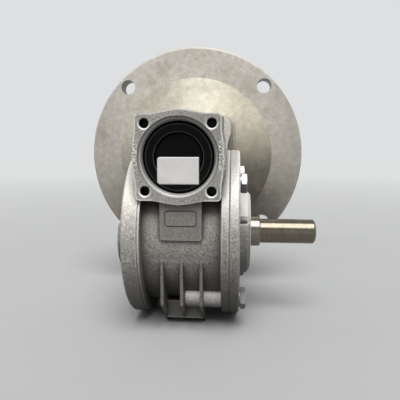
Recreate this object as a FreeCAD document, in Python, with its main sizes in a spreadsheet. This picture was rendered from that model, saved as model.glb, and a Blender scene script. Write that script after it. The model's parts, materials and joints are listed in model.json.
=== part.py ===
import FreeCAD, Part
import math
import os
import re
import Sketcher

# Right-angle worm speed reducer.
# X runs along the output shaft, Y along the worm from its capped end to the motor, Z up.
# The origin is on the resting plane, below the point where the worm's plane meets the output axis.

SIZES = {
    # Gearing
    "tooth_module": 2.0,
    "worm_starts": 2,
    "wheel_teeth": 36,
    "worm_pitch_radius": 13.0,
    "pressure_angle": 20.0,
    "tooth_play": 0.3,
    "tip_play": 0.4,
    "wheel_face_width": 18.0,
    "worm_thread_length": 36.0,
    # Running and seating clearances
    "slip": 0.05,
    "running_gap": 0.3,
    # Drum and flanges of the housing
    "cavity_gap": 2.5,
    "drum_wall": 4.3,
    "flange_rim": 8.2,
    "foot_drop": 1.0,
    "left_flange_width": 10.4,
    "right_flange_width": 4.2,
    "left_wall": 6.0,
    "parting_x": 27.8,
    "edge_break": 1.0,
    "flange_lip": 1.5,
    "bearing_boss_wall": 4.5,
    # Worm tube and its square faces
    "worm_tube_wall": 5.3,
    "front_square": 47.4,
    "front_square_depth": 12.0,
    "front_square_corner": 2.5,
    "bulge_foot": 14.5,
    "bulge_knee": 10.5,
    "bulge_knee_rise": 0.7,
    "bulge_shoulder": 5.5,
    "bulge_shoulder_rise": 1.7,
    "bulge_crown_rise": 2.3,
    "sawn_rise": 1.2,
    "front_hole_pitch": 36.8,
    "front_hole": 5.4,
    "front_hole_depth": 10.5,
    "front_hole_chamfer": 0.8,
    "bore_chamfer": 2.2,
    "rear_square": 55.5,
    "rear_square_depth": 9.0,
    "rear_ear": 11.0,
    "rear_hole_pitch": 42.0,
    "waist_half": 8.0,
    # Plate pad, foot ribs and cross blocks
    "rib_centre": 1.0,
    "rib_spacing": 11.3,
    "rib_thickness": 1.7,
    "rib_front": 43.8,
    "rib_knee": 36.4,
    "rib_foot": 22.0,
    "block_front": 28.0,
    "block_back": 16.0,
    "block_top": 15.0,
    "block_bottom": 4.0,
    "pad_width": 23.6,
    "pad_bottom": 2.6,
    "pad_proud": 1.4,
    "pad_corner": 1.6,
    "frame_width": 18.6,
    "frame_height": 9.6,
    "frame_bottom": 10.2,
    "frame_corner": 2.2,
    "frame_line": 0.9,
    "frame_depth": 0.5,
    # Hubs on both sides of the drum
    "hub_wall": 3.5,
    "hub_flare": 2.4,
    "hub_ledge": 9.0,
    "hub_ring_step": 0.8,
    "hub_ring_chamfer": 2.0,
    "hub_end_wall": 2.5,
    "hub_core_radius": 19.0,
    "notch_height": 4.0,
    "notch_depth": 1.6,
    # Side cover and its bolts
    "gasket": 0.5,
    "cover_plate": 5.8,
    "cover_spigot": 4.0,
    "cover_spigot_wall": 6.0,
    "bolt_offset": 1.2,
    "bolt_angle": 47.5,
    "bolt_angle_steep": 51.5,
    "bolt_thread": 6.35,
    "bolt_flats": 11.1,
    "bolt_head": 4.0,
    "upper_bolt_length": 12.0,
    "lower_bolt_length": 25.0,
    "bolt_hole_end": 0.5,
    "bolt_boss_wall": 2.7,
    "upper_boss_length": 12.0,
    # Output shaft and its bearings
    "output_bearing_bore": 20.0,
    "output_bearing_outer": 47.0,
    "output_bearing_width": 14.0,
    "wheel_seat": 25.0,
    "wheel_hub_length": 26.0,
    "wheel_hub_outer": 36.0,
    "wheel_web": 9.0,
    "wheel_rim_seat": 26.0,
    "spacer_length": 4.0,
    "spacer_wall": 3.5,
    "collar_length": 4.5,
    "collar_radius": 15.0,
    "left_end_gap": 1.0,
    "bearing_shoulder": 2.0,
    "seal_recess": 0.5,
    "output_seal_width": 7.0,
    "shaft_shoulder_length": 6.7,
    "output_diameter": 15.875,
    "output_length": 35.5,
    "shaft_chamfer": 1.2,
    "output_key_width": 4.7625,
    "output_key_length": 25.4,
    "output_key_depth": 2.4,
    "output_key_turn": 22.5,
    "wheel_key_width": 8.0,
    "wheel_key_height": 7.0,
    "wheel_key_length": 22.0,
    "wheel_key_seat": 4.0,
    # Worm shaft and its bearings
    "front_bearing_bore": 17.0,
    "front_bearing_outer": 40.0,
    "front_bearing_width": 12.0,
    "rear_bearing_bore": 25.0,
    "rear_bearing_outer": 42.0,
    "rear_bearing_width": 9.0,
    "front_shoulder": 9.0,
    "rear_shoulder": 10.8,
    "rear_shoulder_radius": 14.5,
    "circlip": 1.2,
    "circlip_reach": 0.9,
    "circlip_width": 2.6,
    "worm_seal_width": 7.0,
    "cap_gap": 0.3,
    "cap_depth": 5.5,
    "cap_recess": 3.0,
    "cap_floor": 2.0,
    "cap_bevel": 1.4,
    "cap_rim": 6.2,
    "cap_dish": 2.4,
    "worm_tail": 3.5,
    "motor_shaft": 15.875,
    "motor_shaft_length": 52.4,
    "motor_shaft_end_gap": 1.0,
    "motor_key_width": 4.7625,
    "motor_key_rise": 2.3,
    # Motor adapter
    "adapter_diameter": 165.1,
    "adapter_bolt_circle": 149.225,
    "adapter_hole": 11.1,
    "adapter_thickness": 14.0,
    "adapter_pilot": 114.3,
    "adapter_pilot_depth": 4.8,
    "adapter_bore": 28.0,
    "adapter_pad": 61.0,
    "adapter_pad_corner": 9.0,
    "adapter_neck_depth": 0.3,
    "adapter_dish_radius": 59.5,
    "adapter_dish_depth": 8.5,
    "adapter_web": 7.4,
    "adapter_floor_radius": 37.0,
    "adapter_wall": 4.2,
    "adapter_edge": 1.2,
    "screw_thread": 6.0,
    "screw_head": 10.0,
    "screw_head_height": 6.0,
    "screw_length": 14.0,
    "screw_socket": 5.0,
    "screw_socket_depth": 3.0,
    # Sealed bearings
    "ring_share": 0.28,
    "shield_thickness": 0.8,
    "shield_recess": 0.4,
}

DERIVED = {
    "wheel_pitch_radius": "tooth_module * wheel_teeth / 2",
    "wheel_tip_radius": "wheel_pitch_radius + tooth_module",
    "wheel_root_radius": "wheel_pitch_radius - tooth_module - tip_play",
    "worm_tip_radius": "worm_pitch_radius + tooth_module",
    "worm_root_radius": "worm_pitch_radius - tooth_module - tip_play",
    "worm_lead": "pi * tooth_module * worm_starts",
    "centre_distance": "worm_pitch_radius + wheel_pitch_radius",
    "cavity_radius": "wheel_tip_radius + cavity_gap",
    "drum_radius": "cavity_radius + drum_wall",
    "flange_radius": "drum_radius + flange_rim",
    "axis_height": "flange_radius + foot_drop",
    "worm_height": "axis_height + centre_distance",
    # Stations along the output axis
    "left_bearing_in": "wheel_hub_length / 2 + spacer_length",
    "left_bearing_out": "left_bearing_in + output_bearing_width",
    "left_face": "left_bearing_out + left_end_gap",
    "drum_left": "left_face - left_flange_width",
    "drum_right": "parting_x - right_flange_width",
    "right_bearing_in": "wheel_hub_length / 2 + collar_length",
    "right_bearing_out": "right_bearing_in + output_bearing_width",
    "seal_in": "right_bearing_out + bearing_shoulder",
    "hub_face": "seal_in + output_seal_width + seal_recess",
    "cover_in": "parting_x + gasket",
    "cover_out": "cover_in + cover_plate",
    "hub_radius": "output_bearing_outer / 2 + hub_wall",
    "hub_ring_radius": "hub_radius - hub_ring_step",
    "boss_radius": "output_bearing_outer / 2 + bearing_boss_wall",
    "shoulder_bore": "output_bearing_outer / 2 - 3.5",
    "shaft_step": "hub_face + shaft_shoulder_length",
    "bolt_circle": "drum_radius + bolt_offset",
    "bolt_boss_radius": "bolt_thread / 2 + bolt_boss_wall",
    # Stations along the worm axis
    "front_bearing_in": "worm_thread_length / 2 + front_shoulder",
    "front_bearing_out": "front_bearing_in + front_bearing_width",
    "cap_back": "front_bearing_out + circlip + cap_gap",
    "cap_front": "cap_back + cap_depth",
    "front_face": "cap_front + cap_recess",
    "rear_bearing_in": "worm_thread_length / 2 + rear_shoulder",
    "rear_bearing_out": "rear_bearing_in + rear_bearing_width",
    "rear_seal_in": "rear_bearing_out + circlip",
    "rear_face": "rear_seal_in + worm_seal_width",
    "adapter_face": "rear_face + gasket",
    "worm_bore": "worm_tip_radius + 2",
    "worm_tube_radius": "front_bearing_outer / 2 + worm_tube_wall",
    "motor_flange_front": "adapter_face + adapter_dish_depth",
    "motor_face": "motor_flange_front + adapter_thickness",
    "worm_end": "rear_face + worm_tail",
    "motor_bore_end": "motor_face - motor_shaft_length - motor_shaft_end_gap",
}

FRONT_DRAFT = 5
THREAD_SUNK = 0.4
CIRCLIP_SWEEP = 325
HEAD_TURN = {"upper": 0, "lower": 12}

doc = FreeCAD.newDocument("speed_reducer")
sheet = doc.addObject("Spreadsheet::Sheet", "Sizes")
for row, (alias, size) in enumerate(SIZES.items(), start=1):
    sheet.set(f"A{row}", alias)
    sheet.set(f"B{row}", str(size))
    sheet.setAlias(f"B{row}", alias)
doc.recompute()

parts = []


def sized(text):
    """The expression with each size named by its cell, and each derived size written out."""
    def name(match):
        word = match.group()
        if word in DERIVED:
            return "(" + sized(DERIVED[word]) + ")"
        return "Sizes." + word if word in SIZES else word
    return re.sub(r"[a-z][a-z_]*", name, str(text))


def value(text):
    return float(sheet.evalExpression(sized(text).replace("Sizes.", "")))


def bind(thing, **paths):
    """Ties each property to an expression of the sheet; a double underscore stands for a dot."""
    for path, text in paths.items():
        thing.setExpression(path.replace("__", "."), sized(text))
    return thing


def place(thing, x=0, y=0, z=0, axis=None, angle=0):
    """Puts a sub-part where the expressions say, turned about the axis given."""
    if axis:
        turn = FreeCAD.Rotation(FreeCAD.Vector(*axis), angle)
        thing.Placement = FreeCAD.Placement(FreeCAD.Vector(), turn)
    return bind(thing, Placement__Base__x=x, Placement__Base__y=y, Placement__Base__z=z)


def new_body(label, z):
    body = doc.addObject("PartDesign::Body", label)
    body.Label = label
    place(body, z=z)
    parts.append(body)
    return body


def new_sketch(body, label, plane, offset):
    sketch = body.newObject("Sketcher::SketchObject", label)
    base = [f for f in body.Origin.OriginFeatures if f.Role == plane][0]
    sketch.AttachmentSupport = [(base, "")]
    sketch.MapMode = "FlatFace"
    if offset is not None:
        bind(sketch, AttachmentOffset__Base__z=offset)
    return sketch


def pin_point(sketch, geometry, corner, x, y):
    """Fixes one point of the sketch at the expressions x and y."""
    for kind, text, axis in (("DistanceX", x, -2), ("DistanceY", y, -1)):
        amount = value(text)
        if abs(amount) < 1e-9:
            sketch.addConstraint(Sketcher.Constraint("PointOnObject", geometry, corner, axis))
            continue
        index = sketch.addConstraint(Sketcher.Constraint(kind, -1, 1, geometry, corner, amount))
        bind(sketch, **{f"Constraints[{index}]": text})


def add_outline(sketch, points):
    """A closed outline of straight lines through the points, each corner held by the sheet."""
    corners = [FreeCAD.Vector(value(x), value(y), 0) for x, y in points]
    first = sketch.GeometryCount
    count = len(points)
    for i in range(count):
        sketch.addGeometry(Part.LineSegment(corners[i], corners[(i + 1) % count]), False)
    for i in range(count):
        after = first + (i + 1) % count
        sketch.addConstraint(Sketcher.Constraint("Coincident", first + i, 2, after, 1))
    for i, (x, y) in enumerate(points):
        pin_point(sketch, first + i, 1, x, y)


def add_circle(sketch, x, y, radius):
    centre = FreeCAD.Vector(value(x), value(y), 0)
    index = sketch.addGeometry(Part.Circle(centre, FreeCAD.Vector(0, 0, 1), value(radius)), False)
    pin_point(sketch, index, 3, x, y)
    held = sketch.addConstraint(Sketcher.Constraint("Radius", index, value(radius)))
    bind(sketch, **{f"Constraints[{held}]": radius})


def add_rounded_rectangle(sketch, left, bottom, right, top, radius):
    """A rectangle whose corners are arcs of the radius given."""
    ends = [(f"{left} + {radius}", bottom), (f"{right} - ({radius})", bottom),
            (right, f"{bottom} + {radius}"), (right, f"{top} - ({radius})"),
            (f"{right} - ({radius})", top), (f"{left} + {radius}", top),
            (left, f"{top} - ({radius})"), (left, f"{bottom} + {radius}")]
    spots = [FreeCAD.Vector(value(x), value(y), 0) for x, y in ends]
    first = sketch.GeometryCount
    size = value(radius)
    for i in range(4):
        sketch.addGeometry(Part.LineSegment(spots[2 * i], spots[2 * i + 1]), False)
    quarter = math.pi / 2
    for i, (dx, dy) in enumerate(((0, 1), (-1, 0), (0, -1), (1, 0))):
        middle = spots[2 * i + 1] + FreeCAD.Vector(dx * size, dy * size, 0)
        whole = Part.Circle(middle, FreeCAD.Vector(0, 0, 1), size)
        sketch.addGeometry(Part.ArcOfCircle(whole, (i - 1) * quarter, i * quarter), False)
    for i in range(4):
        arc = first + 4 + i
        sketch.addConstraint(Sketcher.Constraint("Coincident", arc, 1, first + i, 2))
        sketch.addConstraint(Sketcher.Constraint("Coincident", arc, 2, first + (i + 1) % 4, 1))
        held = sketch.addConstraint(Sketcher.Constraint("Radius", arc, size))
        bind(sketch, **{f"Constraints[{held}]": radius})
    for i, (x, y) in enumerate(ends):
        pin_point(sketch, first + i // 2, 1 + i % 2, x, y)


def rounded_rectangle(body, label, plane, left, bottom, right, top, radius, offset=None):
    sketch = new_sketch(body, label, plane, offset)
    add_rounded_rectangle(sketch, left, bottom, right, top, radius)
    return sketch


def outline(body, label, plane, points, offset=None):
    sketch = new_sketch(body, label, plane, offset)
    add_outline(sketch, points)
    return sketch


def circles(body, label, plane, centres, radius, offset=None):
    sketch = new_sketch(body, label, plane, offset)
    for x, y in centres:
        add_circle(sketch, x, y, radius)
    return sketch


def turned(body, label, plane, points, kind="PartDesign::Revolution", axis_height=None, angle=360):
    """Turns an outline about the plane's first axis, or about a line raised above it."""
    sketch = outline(body, label + "_outline", plane, points)
    axis = "H_Axis"
    if axis_height:
        up = value(axis_height)
        line = sketch.addGeometry(Part.LineSegment(FreeCAD.Vector(-90, up, 0), FreeCAD.Vector(90, up, 0)), True)
        pin_point(sketch, line, 1, "-90", axis_height)
        pin_point(sketch, line, 2, "90", axis_height)
        axis = "Axis0"
    feature = body.newObject(kind, label)
    feature.Profile = sketch
    feature.ReferenceAxis = (sketch, [axis])
    feature.Angle = angle
    sketch.Visibility = False
    return feature


def grooved(body, label, plane, points, axis_height=None):
    return turned(body, label, plane, points, "PartDesign::Groove", axis_height)


def padded(body, label, sketch, length, reverse=False, taper=None):
    pad = body.newObject("PartDesign::Pad", label)
    pad.Profile = sketch
    pad.Reversed = reverse
    if taper is not None:
        pad.TaperAngle = taper
    return bind(pad, Length=length)


def pocketed(body, label, sketch, length, reverse=False):
    """Cuts the sketch into the solid, against its normal unless reversed."""
    pocket = body.newObject("PartDesign::Pocket", label)
    pocket.Profile = sketch
    pocket.Reversed = reverse
    return bind(pocket, Length=length)


def chamfered_holes(body, label, radius, y, size):
    """Breaks the mouths of the round holes of one radius that open on the plane at y."""
    doc.recompute()
    names = []
    for number, edge in enumerate(body.Tip.Shape.Edges, start=1):
        if edge.Curve.TypeId != "Part::GeomCircle":
            continue
        if abs(edge.Curve.Radius - value(radius)) < 1e-3 and abs(edge.Curve.Center.y - value(y)) < 1e-3:
            names.append(f"Edge{number}")
    base = body.Tip
    chamfer = body.newObject("PartDesign::Chamfer", label)
    chamfer.Base = (base, names)
    return bind(chamfer, Size=size)


def square_of(pitch, height):
    """The four corners of a square of holes about the worm axis."""
    half = f"{pitch} / 2"
    return [(f"{sx} * {half}", f"{height} + {sz} * {half}") for sx in (-1, 1) for sz in (-1, 1)]


def bolt_places(row):
    """The upper or lower pair of cover bolts; the four places look the same after half a turn."""
    up, front, back = {"upper": ("", "bolt_angle", "bolt_angle_steep"),
                       "lower": ("-", "bolt_angle_steep", "bolt_angle")}[row]
    return [(f"{side} * bolt_circle * cos({angle})", f"{up}bolt_circle * sin({angle})")
            for side, angle in ((-1, front), (1, back))]


def cut_bolt_holes(body, start, length):
    """The four holes for the cover bolts, from one plane along the output axis."""
    places = bolt_places("upper") + bolt_places("lower")
    holes = circles(body, "bolt_holes_outline", "YZ_Plane", places, "bolt_thread / 2 + slip", start)
    pocketed(body, "bolt_holes", holes, length)


def cut_rear_flat(body, left, right):
    """The flat across the rims that keeps them clear of the motor adapter."""
    rims = outline(body, "rear_flat_outline", "XZ_Plane", [
        (left, "-flange_radius"), (right, "-flange_radius"), (right, "flange_radius"),
        (left, "flange_radius")], "-rear_face")
    pocketed(body, "rear_flat", rims, "flange_radius")


def mirrored(half_side, middle=()):
    """A side's outline: its upper half, any points in the middle, and the upper half turned over."""
    return half_side + list(middle) + [(x, f"-({y})") for x, y in reversed(half_side)]


def all_round(sides, height):
    """Four sides, each drawn as the right one from its upper end down, set round the worm axis."""
    around = []
    for turns, side in enumerate(sides):
        for _ in range(turns):
            side = [(y, f"-({x})") for x, y in side]
        around += side
    return [(x, f"{height} + {y}") for x, y in around]


def eared_block(body, label, height, offset, thickness, reverse):
    """A square with a rounded ear round each screw and a waist along each side."""
    reach = "rear_square / 2"
    side = mirrored([(reach, "rear_hole_pitch / 2"), (reach, "rear_square / 2 - rear_ear"),
                     ("worm_tube_radius", "waist_half")])
    around = all_round([side] * 4, height)
    waisted = outline(body, label + "_outline", "XZ_Plane", around, offset)
    padded(body, label + "_block", waisted, thickness, reverse)
    for number, spot in enumerate(square_of("rear_hole_pitch", height), start=1):
        ear = circles(body, f"{label}_ear_outline_{number}", "XZ_Plane", [spot],
                      "(rear_square - rear_hole_pitch) / 2", offset)
        padded(body, f"{label}_ear_{number}", ear, thickness, reverse)


def make_housing():
    body = new_body("housing", "axis_height")
    turned(body, "drum", "XZ_Plane", [
        ("-left_face", "0"), ("-left_face", "flange_radius - edge_break"),
        ("-left_face + edge_break", "flange_radius"),
        ("-drum_left - flange_lip", "flange_radius"),
        ("-drum_left - flange_lip", "flange_radius - edge_break / 2"),
        ("-drum_left", "flange_radius - edge_break / 2"),
        ("-drum_left", "drum_radius"), ("drum_right", "drum_radius"),
        ("drum_right", "flange_radius - edge_break / 2"),
        ("drum_right + edge_break / 2", "flange_radius"),
        ("parting_x", "flange_radius"), ("parting_x", "0")])

    tube = circles(body, "worm_tube_outline", "XZ_Plane", [("0", "centre_distance")],
                   "worm_tube_radius", "front_face")
    padded(body, "worm_tube", tube, "front_face + rear_face", reverse=True)

    half = "front_square / 2"
    square = rounded_rectangle(
        body, "front_square_outline", "XZ_Plane", f"-{half}", f"centre_distance - {half}",
        half, f"centre_distance + {half}", "front_square_corner", "front_face")
    padded(body, "front_square_block", square, "front_square_depth", reverse=True, taper=FRONT_DRAFT)

    foot = [(half, "bulge_foot"), (f"{half} + bulge_knee_rise", "bulge_knee")]
    sawn = foot + [(f"{half} + sawn_rise", "bulge_shoulder")]
    cast = foot + [(f"{half} + bulge_shoulder_rise", "bulge_shoulder")]
    crown = [(f"{half} + bulge_crown_rise", "0")]
    around = all_round([mirrored(sawn), mirrored(cast, crown)] * 2, "centre_distance")
    bulges = outline(body, "front_bulges_outline", "XZ_Plane", around, "front_face")
    padded(body, "front_bulges", bulges, "front_square_depth", reverse=True, taper=FRONT_DRAFT)

    eared_block(body, "rear_square", "centre_distance", "-rear_face", "rear_square_depth", False)

    pad_left = "rib_centre - pad_width / 2"
    pad_right = "rib_centre + pad_width / 2"
    plate = rounded_rectangle(
        body, "plate_pad_outline", "XZ_Plane", pad_left, "pad_bottom", pad_right,
        "centre_distance - 8", "pad_corner", "drum_radius + pad_proud")
    padded(body, "plate_pad", plate, "drum_radius / 2", reverse=True)
    left = "rib_centre - frame_width / 2"
    right = "rib_centre + frame_width / 2"
    top = "frame_bottom + frame_height"
    line = rounded_rectangle(body, "frame_line_outline", "XZ_Plane", left, "frame_bottom", right, top,
                             "frame_corner", "drum_radius + pad_proud")
    add_rounded_rectangle(line, f"{left} + frame_line", "frame_bottom + frame_line",
                          f"{right} - frame_line", f"{top} - frame_line", "frame_corner - frame_line")
    pocketed(body, "frame_line", line, "frame_depth")

    for number in (-1, 0, 1):
        rib = outline(body, f"rib_outline_{number + 2}", "YZ_Plane", [
            ("-rib_front", "0"), ("-rib_front", "-rib_knee"), ("-rib_foot", "-axis_height"),
            ("rib_foot", "-axis_height"), ("rib_front", "-rib_knee"), ("rib_front", "0")],
            f"rib_centre + {number} * rib_spacing - rib_thickness / 2")
        padded(body, f"foot_rib_{number + 2}", rib, "rib_thickness")

    for side, name in ((-1, "front"), (1, "back")):
        block = outline(body, f"{name}_block_outline", "YZ_Plane", [
            (f"{side} * block_front", "block_top - axis_height"),
            (f"{side} * block_front", "block_bottom - axis_height"),
            (f"{side} * block_back", "block_bottom - axis_height"),
            (f"{side} * block_back", "block_top - axis_height")], "rib_centre - rib_spacing")
        padded(body, f"{name}_block", block, "2 * rib_spacing")

    for row, start in (("lower", "rib_centre"), ("upper", "drum_right - upper_boss_length")):
        boss = circles(body, f"{row}_boss_outline", "YZ_Plane", bolt_places(row), "bolt_boss_radius", start)
        padded(body, f"{row}_bosses", boss, f"drum_right - ({start}) + 1")
    cut_rear_flat(body, "-left_face - 1", "parting_x + 1")

    turned(body, "left_hub", "XZ_Plane", [
        ("-left_face + 1", "0"), ("-left_face - hub_end_wall", "0"),
        ("-left_face - hub_end_wall", "hub_radius"), ("-left_face + 1", "hub_radius")])
    crescent = circles(body, "left_crescent_outline", "YZ_Plane", [("0", "0")], "hub_radius", "-hub_face")
    padded(body, "left_crescent", crescent, "hub_face - left_face - hub_end_wall + 0.5")
    above = outline(body, "left_ledge_outline", "YZ_Plane", [
        ("-hub_radius - 1", "hub_ledge"), ("hub_radius + 1", "hub_ledge"),
        ("hub_radius + 1", "hub_radius + 1"), ("-hub_radius - 1", "hub_radius + 1")], "-hub_face")
    pocketed(body, "left_ledge", above, "hub_face - left_face - hub_end_wall", reverse=True)
    core = circles(body, "left_core_outline", "YZ_Plane", [("0", "0")], "hub_core_radius", "-hub_face")
    pocketed(body, "left_core", core, "hub_face - left_face - hub_end_wall", reverse=True)

    grooved(body, "gear_cavity", "XZ_Plane", [
        ("parting_x + 1", "0"), ("parting_x + 1", "cavity_radius"),
        ("-left_face + left_wall", "cavity_radius"), ("-left_face + left_wall", "boss_radius"),
        ("-left_bearing_in", "boss_radius"), ("-left_bearing_in", "output_bearing_outer / 2"),
        ("-left_bearing_out", "output_bearing_outer / 2"), ("-left_bearing_out", "shoulder_bore"),
        ("-left_face", "shoulder_bore"), ("-left_face", "0")])

    axis = "centre_distance"
    front_bore = "front_bearing_outer / 2"
    rear_bore = "rear_bearing_outer / 2"
    clip = "circlip_reach"
    grooved(body, "worm_bore", "YZ_Plane", [
        ("-front_face - 1", axis), ("-front_face - 1", f"{axis} + {front_bore} + bore_chamfer"),
        ("-front_face", f"{axis} + {front_bore} + bore_chamfer"),
        ("-front_face + bore_chamfer", f"{axis} + {front_bore}"),
        ("-front_bearing_out - circlip", f"{axis} + {front_bore}"),
        ("-front_bearing_out - circlip", f"{axis} + {front_bore} + {clip}"),
        ("-front_bearing_out", f"{axis} + {front_bore} + {clip}"),
        ("-front_bearing_out", f"{axis} + {front_bore}"),
        ("-front_bearing_in", f"{axis} + {front_bore}"),
        ("-front_bearing_in", f"{axis} + worm_bore"), ("rear_bearing_in", f"{axis} + worm_bore"),
        ("rear_bearing_in", f"{axis} + {rear_bore}"), ("rear_bearing_out", f"{axis} + {rear_bore}"),
        ("rear_bearing_out", f"{axis} + {rear_bore} + {clip}"),
        ("rear_seal_in", f"{axis} + {rear_bore} + {clip}"), ("rear_seal_in", f"{axis} + {rear_bore}"),
        ("rear_face + 1", f"{axis} + {rear_bore}"), ("rear_face + 1", axis)], axis)

    holes = circles(body, "front_holes_outline", "XZ_Plane", square_of("front_hole_pitch", axis),
                    "front_hole / 2", "front_face")
    pocketed(body, "front_holes", holes, "front_hole_depth")
    chamfered_holes(body, "front_hole_mouths", "front_hole / 2", "-front_face", "front_hole_chamfer")
    screws = circles(body, "rear_holes_outline", "XZ_Plane", square_of("rear_hole_pitch", axis),
                     "screw_thread / 2 + slip", "-rear_face")
    pocketed(body, "rear_holes", screws, "screw_length - adapter_web - gasket + 1", reverse=True)
    for row in ("upper", "lower"):
        holes = circles(body, f"{row}_bolt_holes_outline", "YZ_Plane", bolt_places(row),
                        "bolt_thread / 2 + slip", "parting_x")
        pocketed(body, f"{row}_bolt_holes", holes,
                 f"{row}_bolt_length - cover_plate - gasket + bolt_hole_end")
    return body


def make_side_cover():
    body = new_body("side_cover", "axis_height")
    turned(body, "plate", "XZ_Plane", [
        ("right_bearing_in", "0"), ("right_bearing_in", "boss_radius"), ("cover_in", "boss_radius"),
        ("cover_in", "cavity_radius - cover_spigot_wall"),
        ("cover_in - cover_spigot", "cavity_radius - cover_spigot_wall"),
        ("cover_in - cover_spigot", "cavity_radius - slip"), ("cover_in", "cavity_radius - slip"),
        ("cover_in", "flange_radius - edge_break / 2"), ("cover_in + edge_break / 2", "flange_radius"),
        ("cover_out - edge_break", "flange_radius"), ("cover_out", "flange_radius - edge_break"),
        ("cover_out", "0")])
    turned(body, "hub", "XZ_Plane", [
        ("cover_out - 1", "0"), ("cover_out - 1", "hub_radius + hub_flare"),
        ("cover_out", "hub_radius + hub_flare"), ("hub_face - hub_ring_chamfer", "hub_radius"),
        ("hub_face", "hub_ring_radius - hub_ring_chamfer"), ("hub_face", "0")])
    beyond = "hub_radius + hub_flare + 1"
    above = outline(body, "ledge_outline", "YZ_Plane", [
        (f"-({beyond})", "hub_ledge"), (beyond, "hub_ledge"), (beyond, beyond), (f"-({beyond})", beyond)],
        "hub_face")
    pocketed(body, "ledge", above, "hub_face - cover_out")
    turned(body, "machined_ring", "XZ_Plane", [
        ("cover_out - 1", "0"), ("cover_out - 1", "hub_ring_radius"),
        ("hub_face - hub_ring_chamfer", "hub_ring_radius"),
        ("hub_face", "hub_ring_radius - hub_ring_chamfer"), ("hub_face", "0")])
    notch = new_sketch(body, "notch_outline", "YZ_Plane", "cover_out")
    for side in (-1, 1):
        inner = f"{side} * (hub_ring_radius - notch_depth - hub_ring_step)"
        outer = f"{side} * (hub_radius + 1)"
        add_outline(notch, [(inner, "hub_ledge"), (outer, "hub_ledge"),
                            (outer, "hub_ledge + notch_height"), (inner, "hub_ledge + notch_height")])
    pocketed(body, "notch", notch, "hub_face - cover_out - hub_ring_chamfer", reverse=True)
    grooved(body, "bearing_and_seal_bore", "XZ_Plane", [
        ("right_bearing_in - 1", "0"), ("right_bearing_in - 1", "output_bearing_outer / 2"),
        ("right_bearing_out", "output_bearing_outer / 2"), ("right_bearing_out", "shoulder_bore"),
        ("seal_in", "shoulder_bore"), ("seal_in", "output_bearing_outer / 2"),
        ("hub_face + 1", "output_bearing_outer / 2"), ("hub_face + 1", "0")])
    cut_bolt_holes(body, "cover_out", "cover_plate + 1")
    cut_rear_flat(body, "0", "cover_out + 1")
    return body


def make_cover_gasket():
    body = new_body("cover_gasket", "axis_height")
    turned(body, "gasket_ring", "XZ_Plane", [
        ("parting_x", "cavity_radius"), ("parting_x", "flange_radius - edge_break / 2"),
        ("cover_in", "flange_radius - edge_break / 2"), ("cover_in", "cavity_radius")])
    cut_bolt_holes(body, "cover_in + 1", "gasket + 2")
    cut_rear_flat(body, "parting_x - 1", "cover_in + 1")
    return body


def make_cover_bolts():
    """Four hexagon bolts, each a head fused to its shank; only the lower heads are turned a little."""
    bolts = []
    rows = [(row, place) for row in ("upper", "lower") for place in bolt_places(row)]
    for number, (row, (y, z)) in enumerate(rows, start=1):
        head = doc.addObject("Part::Prism", f"cover_bolt_head_{number}")
        head.Polygon = 6
        bind(head, Circumradius="bolt_flats / 2 / cos(30)", Height="bolt_head")
        place(head, "cover_out", y, f"axis_height + {z}")
        corner_front = FreeCAD.Rotation(FreeCAD.Vector(1, 1, 1), 120)
        turn = FreeCAD.Rotation(FreeCAD.Vector(1, 0, 0), HEAD_TURN[row])
        head.Placement.Rotation = turn * corner_front
        shank = doc.addObject("Part::Cylinder", f"cover_bolt_shank_{number}")
        bind(shank, Radius="bolt_thread / 2", Height=f"{row}_bolt_length")
        place(shank, f"cover_out - {row}_bolt_length", y, f"axis_height + {z}", (0, 1, 0), 90)
        whole = doc.addObject("Part::Fuse", f"cover_bolt_{number}")
        whole.Base = head
        whole.Tool = shank
        bolts.append(whole)
    group = doc.addObject("Part::Compound", "cover_bolts")
    group.Label = "cover_bolts"
    group.Links = bolts
    parts.append(group)


def make_adapter_screws():
    """Four socket-head screws that hold the adapter to the housing's rear ears."""
    screws = []
    for number, (x, z) in enumerate(square_of("rear_hole_pitch", "worm_height"), start=1):
        head = doc.addObject("Part::Cylinder", f"adapter_screw_head_{number}")
        bind(head, Radius="screw_head / 2", Height="screw_head_height")
        place(head, x, "adapter_face + adapter_web + screw_head_height", z, (1, 0, 0), 90)
        shank = doc.addObject("Part::Cylinder", f"adapter_screw_shank_{number}")
        bind(shank, Radius="screw_thread / 2", Height="screw_length + 1")
        place(shank, x, "adapter_face + adapter_web + 1", z, (1, 0, 0), 90)
        solid = doc.addObject("Part::Fuse", f"adapter_screw_solid_{number}")
        solid.Base = head
        solid.Tool = shank
        socket = doc.addObject("Part::Prism", f"adapter_screw_socket_{number}")
        socket.Polygon = 6
        bind(socket, Circumradius="screw_socket / 2 / cos(30)", Height="screw_socket_depth + 1")
        place(socket, x, "adapter_face + adapter_web + screw_head_height + 1", z, (1, 0, 0), 90)
        screw = doc.addObject("Part::Cut", f"adapter_screw_{number}")
        screw.Base = solid
        screw.Tool = socket
        screws.append(screw)
    group = doc.addObject("Part::Compound", "adapter_screws")
    group.Label = "adapter_screws"
    group.Links = screws
    parts.append(group)


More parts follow.
